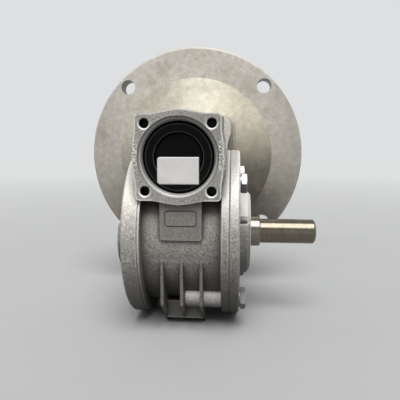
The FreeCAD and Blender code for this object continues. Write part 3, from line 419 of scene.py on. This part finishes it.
def from_output(made):
    """The distance from the output shaft's axis."""
    return made.radius("X", (0, AXIS_HEIGHT))


def from_worm(made):
    """The distance from the worm's axis."""
    return made.radius("Y", (0, WORM_HEIGHT))


def level_with(made, face):
    """Where the surface lies in one plane that faces the front."""
    return made.both(made.under(made.axis("Y"), face + 0.45 * MM, 0.15),
                     made.past(made.axis("Y"), face - 0.6 * MM, 0.2))


def cover_hub(made):
    """The raised round of the side cover."""
    return made.both(made.under(from_output(made), HUB_RADIUS, 0.3),
                     made.past(made.axis("X"), SEAM + 0.5 * MM, 0.5))


def cover_ring(made):
    """The turned part of the cover's hub, above its ledge."""
    return made.both(cover_hub(made), made.past(made.axis("X"), RING_FACE, 0.1),
                     made.past(made.axis("Z"), RING_LEDGE, 0.1))


def pad_region(made):
    """The plate pad under the square face, and its sides."""
    return made.both(made.under(made.axis("Y"), PAD_FACE + 4.5 * MM, 0.5),
                     made.under(made.axis("Z"), PAD_TOP, 1), made.under(made.away("X"), PAD_HALF, 0.5))


def worm_bore(made):
    """The turned bore round the end cap."""
    return made.both(made.under(from_worm(made), BORE_RADIUS, 0.1),
                     made.under(made.axis("Y"), BORE_BACK, 0.5))


def grain_and_painted_shading(made, grain):
    """Grain and blotches, with light and shade painted in: darker towards the feet, to the right, in the
    corners and on what faces down, and lighter to the left and on open faces that look up.
    """
    made.vary(made.noise(22, 2), 0.10)
    made.vary(made.noise(4, 2), 0.09)
    made.vary(grain, 0.68)
    # Painted shade towards the feet and to the right, and painted light to the left
    made.shade(made.ramp(made.axis("Z"), AXIS_HEIGHT - 45 * MM, AXIS_HEIGHT, 0.70, 1))
    made.shade(made.ramp(made.axis("X"), -30 * MM, 30 * MM, 1.12, 0.90))
    made.tint(made.ramp(made.noise(0.9, 2), 0.62, 0.72), (0.84, 0.82, 0.76), 0.45)
    # Painted shade in the corners
    made.tint(made.corners(30), (0.11, 0.102, 0.09), 0.85)
    # Painted shade on what faces down, painted light on open faces that look up, less on those that look
    # straight up
    made.shade(made.ramp(made.facing("Z"), 0, -0.6, 1, 0.55))
    painted_top_light = made.both(made.ramp(made.facing("Z"), 0.1, 0.6), made.hollows(20))
    made.tint(painted_top_light, (0.86, 0.845, 0.79), 0.5)
    made.shade_at(painted_top_light, 1.6)
    made.shade(made.ramp(made.facing("Z"), 0.75, 1, 1, 0.5))
    # Painted shade in small corners, except along the gasket's seam
    made.tint(made.both(made.corners(5), made.past(made.away("X", SEAM), 1.5 * MM, 0.5)),
              (0.07, 0.064, 0.055), 0.6)


def edge_wear_and_highlights(made):
    """Bright edges, partly wear and partly painted highlight, on what does not face down, and less so on
    the plate pad, the rims, the gasket's seam and the feet.
    """
    height = made.axis("Z")
    rims = made.both(made.past(from_output(made), DRUM_RADIUS + 1.5 * MM, 0.5),
                     made.under(height, RIM_TOP, 1))
    upward = made.either(made.ramp(made.facing("Z"), -0.5, 0), cover_hub(made))
    patches = made.ramp(made.noise(2, 3), 0.2, 0.4)
    edges = made.both(made.ramp(made.edges(1.3), 0.1, 0.5), upward, patches,
                      made.factor_at(pad_region(made), 0.25), made.factor_at(rims, 0.5),
                      made.ramp(made.away("X", SEAM), 1.5 * MM, 2.5 * MM, 0.4, 1),
                      made.ramp(height, 15 * MM, 45 * MM, 0.25, 1))
    made.tint(edges, (1.0, 0.985, 0.95), 0.85)


def pad_and_ribs(made):
    """Painted shade: a dark outline in the pad's corners, a darker and more even pad face, and darker
    front edges of the foot ribs.
    """
    pad = pad_region(made)
    made.tint(made.both(pad, made.corners(3)), (0.05, 0.046, 0.04), 0.9)
    made.tint(made.both(pad, level_with(made, PAD_FACE)), (0.22, 0.211, 0.193), 0.6)
    ribs = made.both(level_with(made, RIB_FACE), made.under(made.axis("Z"), AXIS_HEIGHT - 1 * MM, 1),
                     made.under(made.away("X"), PAD_HALF, 0.5),
                     made.past(from_output(made), DRUM_RADIUS + 0.25 * MM, 0.15))
    made.shade_at(ribs, 0.62)


def painted_light_places(made, grain):
    """Painted light on the lower bolt bosses and on the front of the rear plate, and painted shade on the
    bosses where they face down.
    """
    middles = [made.radius("X", place) for place in bolt_places()[2:]]
    bosses = made.both(made.under(made.maths("MINIMUM", *middles), BOSS_RADIUS, 0.25),
                       made.past(made.axis("X"), BOSS_ROOT, 0.2))
    plate = made.both(made.past(made.axis("Y"), PLATE_FRONT, 0.3), made.ramp(made.facing("Y"), -0.3, -0.7))
    # Painted light on the bosses and the plate; painted shade where the bosses face down
    lit_mask = made.both(made.either(bosses, plate), made.ramp(grain, 0.25, 0.6, 0.55, 1))
    made.tint(lit_mask, (0.97, 0.955, 0.91), 0.95)
    made.shade_at(made.both(bosses, made.ramp(made.facing("Z"), 0.5, -0.6)), 0.45)


def gate_marks(made):
    """Bright and dark sawn streaks where the gates were cut off the sides of the square face."""
    sides = made.both(made.past(made.away("X"), SQUARE_HALF, 0.3),
                      made.under(made.axis("Y"), SQUARE_BACK, 1),
                      made.within(made.axis("Z"), GATE_LOW, GATE_HIGH, 1))
    streaks = made.noise(1.3, 3, 0.7, (1, 0.5, 1.6))
    sawn = made.both(sides, made.ramp(streaks, 0.46, 0.54))
    made.tint(made.both(sides, made.ramp(streaks, 0.44, 0.36)), (0.08, 0.075, 0.066), 0.8)
    made.tint(sawn, (1.0, 0.99, 0.96))
    return sawn


def turned_bore(made):
    """The worm's bore, its dark inner part, the bright line between, and the line round its mouth."""
    reach, depth = from_worm(made), made.axis("Y")
    bore = worm_bore(made)
    made.tint(bore, (0.40, 0.393, 0.38))
    made.tint(made.both(bore, made.under(reach, BORE_STEP, 0.1)), (0.22, 0.216, 0.21), 0.7)
    made.tint(made.both(bore, made.within(reach, *BORE_LINE, 0.05)), (0.92, 0.91, 0.88), 0.8)
    rim = made.both(made.within(reach, *BORE_RIM, 0.1), made.under(depth, RIM_BACK, 0.5))
    made.tint(rim, (0.10, 0.095, 0.085), 0.8)


def front_holes(made):
    """The four holes of the square face: bright chamfers, and insides painted dark as their shade."""
    hole, depth = made.from_hole(HOLE_OUT), made.axis("Y")
    made.tint(made.both(made.under(hole, MOUTH_RADIUS, 0.1), made.under(depth, MOUTH_BACK, 0.15)),
              (0.90, 0.89, 0.86))
    made.tint(made.both(made.under(hole, HOLE_RADIUS, 0.05), made.past(depth, HOLE_START, 0.2),
                        made.under(depth, HOLE_END, 0.5)), (0.02, 0.02, 0.018))


def cast_aluminium():
    """Shot-blasted casting with its machined places, and light and shade painted into its colour."""
    made = Shader("cast_aluminium", (0.42, 0.405, 0.372), 0.52, 0.15)
    grain = made.noise(1.0, 3, 0.7)
    # Grain, with light and shade painted in
    grain_and_painted_shading(made, grain)
    ring = cover_ring(made)
    made.tint(ring, (0.82, 0.785, 0.73))
    # Bright edges: partly wear, partly painted highlight
    edge_wear_and_highlights(made)
    pad_and_ribs(made)
    # Painted light and shade on the lower bosses and the rear plate
    painted_light_places(made, grain)
    sawn = gate_marks(made)
    turned_bore(made)
    front_holes(made)
    made.roughen(grain, 0.10)
    cast = made.maths("SUBTRACT", 1, made.either(worm_bore(made), ring))
    made.raise_by(made.both(made.noise(2.2, 2), cast), 0.18)
    made.raise_by(made.both(grain, cast), 0.20)
    made.raise_by(sawn, 0.15)
    return made.done()


# Other materials

def machined_flange():
    """Faced aluminium: faint rings about the worm's axis, handling stains, a soft sheen, and painted light
    and shade.
    """
    made = Shader("machined_flange", (0.73, 0.69, 0.612), 0.38, 0.3)
    reach = from_worm(made)
    across, rise = made.axis("X"), made.maths("SUBTRACT", made.axis("Z"), WORM_HEIGHT)
    beside, above = made.away("X"), made.away("Z", WORM_HEIGHT)

    # The cone is lighter and yellower than the rim, its own tone and partly painted light; painted shade
    # darkens it low on the right, to the left, at the neck and along its top, and warms its right side
    cone = made.both(made.under(reach, CONE_RADIUS, 0.1), made.under(made.axis("Y"), CONE_BACK, 0.5),
                     made.ramp(made.facing("Y"), 0.1, -0.1))
    made.tint(cone, (0.84, 0.81, 0.665))
    left = made.ramp(across, 10 * MM, -30 * MM)
    low_right = made.both(made.ramp(rise, 28 * MM, -12 * MM), made.ramp(across, -20 * MM, 25 * MM, 0.3, 1))
    neck = made.both(made.under(beside, NECK_HALF, 0.3), made.under(above, NECK_RISE, 3))
    top = made.ramp(rise, 30 * MM, 50 * MM)
    for place, factor in ((left, 0.84), (low_right, 0.32), (neck, 0.66), (top, 0.74)):
        made.shade_at(made.both(cone, place), factor)
    made.tint(made.both(cone, made.ramp(across, 0, 30 * MM)), (0.96, 0.93, 0.90), blend="MULTIPLY")

    # Painted shade towards the left and right edges and low down, painted light high up, and painted shade
    # in the hollows below the worm's axis
    made.shade(made.ramp(beside, 52 * MM, 76 * MM, 1, 0.87))
    made.shade(made.ramp(rise, -70 * MM, 70 * MM, 0.66, 1.06))
    made.tint(made.both(made.ramp(made.hollows(70), 0.95, 0.4), made.ramp(rise, 5 * MM, -30 * MM)),
              (0.10, 0.095, 0.075))
    for size, detail, spread in ((30, 3, 0.09), (5, 3, 0.15), (1.5, 2, 0.10)):
        made.vary(made.noise(size, detail), spread)
    # Painted highlight on the edges, and painted shade in the bolt holes
    made.tint(made.edges(0.9), (0.90, 0.88, 0.83), 0.8)
    made.tint(made.under(made.from_hole(FLANGE_HOLE_OUT), FLANGE_HOLE_RADIUS, 0.1), (0.20, 0.19, 0.17))
    stains = made.ramp(made.noise(17, 3, 0.6), 0.56, 0.70)
    made.tint(stains, (0.42, 0.30, 0.24), 0.35)
    turning = made.rings(reach, 0.35)
    made.vary(turning, 0.03)
    made.roughen(turning, 0.05)
    made.raise_by(turning, 0.012)
    made.raise_by(made.noise(0.7, 2), 0.03)
    return made.done()


def ground_steel():
    """The output shaft: fine rings along its length under a tan film, with a bright shoulder."""
    made = Shader("ground_steel", (0.175, 0.153, 0.118), 0.21, 0.9)
    made.tint(made.under(made.axis("X"), SHAFT_STEP, 0.2), (0.23, 0.21, 0.18))
    turning = made.rings(made.axis("X"), 0.7)
    made.vary(turning, 0.05)
    made.vary(made.noise(1.1, 3, 0.6, (1.6, 0.8, 0.8)), 0.24)
    made.vary(made.noise(6, 3), 0.14)
    made.roughen(turning, 0.05)
    made.raise_by(turning, 0.004)
    return made.done()


def zinc_plate():
    """Bright zinc on the bolts, with painted shade on what faces down and in the corners."""
    made = Shader("zinc_plate", (0.40, 0.405, 0.415), 0.32, 0.5)
    # Painted shade on what faces down and in the corners
    made.shade(made.ramp(made.facing("Z"), 0.1, -0.5, 1, 0.5))
    made.shade(made.hollows(8, 0.6))
    made.vary(made.noise(1.2, 3), 0.05)
    made.roughen(made.noise(2.5, 3), 0.06)
    made.raise_by(made.noise(0.5, 2), 0.012)
    return made.done()


def cap_rubber():
    """The smooth black skin of the end cap, with a faint grey ring on its outer bevel and a grey line
    round its dish.
    """
    made = Shader("cap_rubber", (0.003, 0.003, 0.0035), 0.34, 0.0, 0.08)
    reach = from_worm(made)
    grey_bevel = made.both(made.past(reach, BEVEL_INNER, 0.25), made.under(reach, BEVEL_OUTER, 0.15))
    made.tint(grey_bevel, (0.05, 0.05, 0.05), 0.8)
    made.tint(made.within(reach, DISH_EDGE, DISH_EDGE + DISH_LINE, 0.1), (0.10, 0.10, 0.10), 0.8)
    made.vary(made.noise(7, 3), 0.25)
    made.roughen(made.noise(3, 3), 0.06)
    made.raise_by(made.noise(0.9, 2), 0.02)
    return made.done()


def wheel_bronze():
    """The worm wheel's turned rim."""
    made = Shader("wheel_bronze", (0.62, 0.40, 0.18), 0.34, 1.0)
    made.vary(made.noise(3, 3), 0.10)
    made.raise_by(made.rings(made.axis("X"), 0.3), 0.01)
    return made.done()


def even_surface(name, colour, roughness, metallic, mottles, relief, polish=None):
    """A plain finish: mottles, relief and polish hold a noise size, its detail and how strong it is."""
    made = Shader(name, colour, roughness, metallic)
    for size, detail, spread in mottles:
        made.vary(made.noise(size, detail), spread)
    if polish:
        size, detail, spread = polish
        made.roughen(made.noise(size, detail), spread)
    size, detail, height = relief
    made.raise_by(made.noise(size, detail), height)
    return made.done()


def plain_steel(name, colour, roughness):
    """Turned or ground steel that sits inside or behind other pieces."""
    return even_surface(name, colour, roughness, 1.0, [(2.5, 3, 0.08)], (0.4, 2, 0.01), (0.8, 2, 0.06))


def dull_rubber():
    return even_surface("dull_rubber", (0.022, 0.019, 0.017), 0.62, 0.0, [(2, 3, 0.2)], (0.6, 2, 0.03))


def gasket_paper():
    return even_surface("gasket_paper", (0.34, 0.31, 0.27), 0.85, 0.0, [(1, 3, 0.25)], (0.5, 2, 0.04))


def rough_iron():
    return even_surface("rough_iron", (0.12, 0.115, 0.11), 0.60, 0.8, [(1.5, 3, 0.2)], (0.8, 3, 0.06))


def label_paper():
    """The sticker: off-white film with a faint grain."""
    return even_surface("label_paper", (0.93, 0.92, 0.895), 0.40, 0.0, [(0.9, 3, 0.05), (6, 2, 0.04)],
                        (0.7, 2, 0.02))


def paint(thing, material):
    if not thing.material_slots:
        thing.data.materials.append(material)
    for place in thing.material_slots:
        place.material = material


# Edges

def soften(thing, width):
    """Rounds a node's sharp edges, after its flat and round faces are made whole again."""
    weld = thing.modifiers.new("weld", "WELD")
    weld.merge_threshold = SAME_POINT
    whole = thing.modifiers.new("whole_faces", "DECIMATE")
    whole.decimate_type = "DISSOLVE"
    whole.angle_limit = SAME_FACE
    edge = thing.modifiers.new("soft_edges", "BEVEL")
    edge.width = width * MM
    edge.segments = 2
    edge.limit_method = "ANGLE"
    edge.angle_limit = SHARP_ANGLE
    edge.harden_normals = False
    edge.use_clamp_overlap = True
    smooth(thing)
    tidy = thing.modifiers.new("normals", "WEIGHTED_NORMAL")
    tidy.keep_sharp = True


# Pieces

def hex_bolt(name, centre, turn, length):
    """A hexagon bolt along X: shank, washer face, and a head whose corners are turned off."""
    sides = 6
    around = 96
    slope = math.tan(BOLT_CHAMFER)
    shank = BOLT_THREAD / 2
    top = BOLT_FLATS / 2 * BOLT_TOP
    collar = BOLT_FLATS / 2 * BOLT_COLLAR

    def flat_at(angle):
        """The distance from the bolt's axis to its flats, in one direction."""
        part = (angle - turn) % (2 * math.pi / sides) - math.pi / sides
        return BOLT_FLATS / 2 / math.cos(part)

    def washer_side(angle):
        return BOLT_WASHER + (flat_at(angle) - collar) * slope

    def top_side(angle):
        return BOLT_HEAD - (flat_at(angle) - top) * slope

    def even(amount):
        return lambda angle: amount

    def build(shape):
        def ring(radius_at, height_at):
            verts = []
            for i in range(around):
                angle = turn + 2 * math.pi * i / around
                radius = radius_at(angle)
                point = (height_at(angle), radius * math.cos(angle), radius * math.sin(angle))
                verts.append(shape.verts.new(centre + Vector(point)))
            return verts

        outline = ((even(shank - BOLT_LEAD / 2), even(-length)), (even(shank), even(BOLT_LEAD - length)),
                   (even(shank), even(0)), (even(collar), even(0)), (even(collar), even(BOLT_WASHER)),
                   (flat_at, washer_side), (flat_at, top_side), (even(top), even(BOLT_HEAD)))
        rows = [ring(radius_at, height_at) for radius_at, height_at in outline]
        for low, high in zip(rows, rows[1:]):
            for i in range(around):
                j = (i + 1) % around
                shape.faces.new((low[i], low[j], high[j], high[i]))
        shape.faces.new(rows[0][::-1])
        shape.faces.new(rows[-1])
    return mesh_object(name, build)


def sticker(name):
    """The label on the cap: a thin sheet that dips a little where the cap is dished."""
    columns, rows = 36, 24
    low, high = STICKER_LOW, STICKER_HIGH

    def inside(u, v):
        """Pulls the left corners of the sheet round."""
        x = low.x + u * (high.x - low.x)
        z = low.z + v * (high.z - low.z)
        for edge_z, out in ((low.z, -1), (high.z, 1)):
            middle = Vector((low.x + STICKER_CORNER, 0, edge_z - out * STICKER_CORNER))
            if x < middle.x and (z - middle.z) * out > 0:
                away = Vector((x - middle.x, 0, z - middle.z))
                longest = max(abs(away.x), abs(away.z))
                away *= longest / away.length
                x, z = middle.x + away.x, middle.z + away.z
        return x, z

    def build(shape):
        grid = []
        for j in range(rows + 1):
            line = []
            for i in range(columns + 1):
                x, z = inside(i / columns, j / rows)
                reach = math.hypot(x, z - WORM_HEIGHT)
                dip = STICKER_DIP * max(0, 1 - (reach / STICKER_DIP_RADIUS) ** 2)
                wave = STICKER_WAVE * noise.noise(Vector((x, 0, z)) / STICKER_WAVE_SIZE)
                line.append(shape.verts.new((x, STICKER_FACE + dip + wave, z)))
            grid.append(line)
        for j in range(rows):
            for i in range(columns):
                shape.faces.new((grid[j][i], grid[j][i + 1], grid[j + 1][i + 1], grid[j + 1][i]))
        shape.normal_update()
        made = bmesh.ops.extrude_face_region(shape, geom=list(shape.faces))
        moved = [v for v in made["geom"] if isinstance(v, bmesh.types.BMVert)]
        bmesh.ops.translate(shape, verts=moved, vec=(0, -STICKER_THICKNESS, 0))
        bmesh.ops.recalc_face_normals(shape, faces=list(shape.faces))
    return smooth(mesh_object(name, build))


# Dressing

def dress_nodes():
    """Paints every node of the CAD and rounds its edges."""
    metal = cast_aluminium()
    flange = machined_flange()
    bearing = plain_steel("bearing_steel", (0.62, 0.62, 0.62), 0.25)
    dark = plain_steel("black_steel", (0.06, 0.06, 0.063), 0.38)
    shaft = ground_steel()
    rubber = dull_rubber()
    paper = gasket_paper()
    looks = {
        "housing": metal, "side_cover": metal, "motor_adapter": flange, "worm_end_cap": cap_rubber(),
        "cover_gasket": paper, "adapter_gasket": paper, "adapter_screws": dark,
        "output_oil_seal": rubber, "worm_oil_seal": rubber, "output_shaft": shaft, "worm_shaft": shaft,
        "wheel_rim": wheel_bronze(), "wheel_hub": rough_iron(), "worm_front_circlip": dark,
        "worm_rear_circlip": dark, "cover_bolts": zinc_plate(),
    }
    for name, thing in NODES.items():
        paint(thing, looks.get(name, bearing))
    for name, width in SOFT_EDGES.items():
        soften(NODES[name], width)
    return looks


def add_bolts(zinc):
    """The four cover bolts, each standing where its CAD solid is."""
    for number, (place, (_, _, (length, turn))) in enumerate(zip(bolt_places(), BOLTS), start=1):
        bolt = hex_bolt(f"cover_bolt_{number}", Vector((COVER_FACE - BOLT_HEAD, *place)), turn, length)
        paint(bolt, zinc)
        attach(bolt, "root")
        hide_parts("cover_bolts")


def add_sticker():
    made = sticker("bare_sticker")
    paint(made, label_paper())
    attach(made, "root")


# Stage

def add_floor():
    """A plain pale floor that keeps the object's shadow and throws little light back up."""
    def build(shape):
        corners = ((-1, -1), (1, -1), (1, 1), (-1, 1))
        shape.faces.new([shape.verts.new((x * FLOOR_HALF, y * FLOOR_HALF, 0)) for x, y in corners])
    floor = mesh_object("floor", build)
    made = Shader("floor_paper", FLOOR_CAST, 0.9, 0.0, 0.2)
    seen = made.seen()
    made.tint(seen, FLOOR_SEEN)
    made.tint(made.both(seen, made.ramp(made.radius("Z", (0, 0)), *FLOOR_FADE)), FLOOR_FAR)
    made.vary(made.noise(60, 3), 0.015)
    paint(floor, made.done())


def light_the_sky():
    """A sky that is bright overhead and dim at the horizon, with a plain pale backdrop."""
    world = bpy.data.worlds.new("studio")
    bpy.context.scene.world = world
    world.use_nodes = True
    made = Graph(world.node_tree)
    way = made.node("ShaderNodeSeparateXYZ")
    made.join(made.node("ShaderNodeTexCoord").outputs["Generated"], way.inputs[0])

    def share(letter, steps):
        """A brightness that follows the steps given along one direction."""
        ramp = made.node("ShaderNodeValToRGB")
        made.join(made.ramp(way.outputs[letter], -1, 1), ramp.inputs[0])
        stops = ramp.color_ramp.elements
        while len(stops) < len(steps):
            stops.new(0.5)
        for stop, (at, amount) in zip(stops, steps):
            stop.position = (at + 1) / 2
            stop.color = (amount, amount, amount, 1)
        return ramp.outputs[0]

    sky = world.node_tree.nodes["Background"]
    strength = made.both(share("Z", SKY_BY_HEIGHT), share("X", SKY_ACROSS), SKY_STRENGTH)
    made.join(SKY_COLOUR, sky.inputs["Color"])
    made.join(strength, sky.inputs["Strength"])
    backdrop = made.node("ShaderNodeBackground")
    made.join(BACKDROP, backdrop.inputs["Color"])
    behind = made.ramp(way.outputs["Y"], *BACKDROP_FROM)
    around = made.both(made.seen(), made.ramp(way.outputs["Z"], *BACKDROP_BELOW))
    mix = made.node("ShaderNodeMixShader")
    made.join(made.either(behind, around), mix.inputs[0])
    made.join(sky.outputs[0], mix.inputs[1])
    made.join(backdrop.outputs[0], mix.inputs[2])
    made.join(mix.outputs[0], world.node_tree.nodes["World Output"].inputs["Surface"])


def add_sun():
    data = bpy.data.lights.new("sun", "SUN")
    data.energy = SUN_STRENGTH
    data.angle = math.radians(SUN_WIDTH)
    sun = link(bpy.data.objects.new("sun", data))
    sun.rotation_euler = Vector(SUN_FROM).to_track_quat("Z", "Y").to_euler()


def add_camera():
    data = bpy.data.cameras.new("view")
    data.lens = LENS
    data.clip_start = CAMERA_NEAR
    camera = link(bpy.data.objects.new("view", data))
    camera.location = CAMERA_AT
    camera.rotation_euler = (math.radians(90 - PITCH_DOWN), 0, math.radians(YAW_LEFT))
    bpy.context.scene.camera = camera


add_camera()
looks = dress_nodes()
add_bolts(looks["cover_bolts"])
add_sticker()
add_floor()
light_the_sky()
add_sun()
bpy.context.scene.view_settings.view_transform = "Standard"
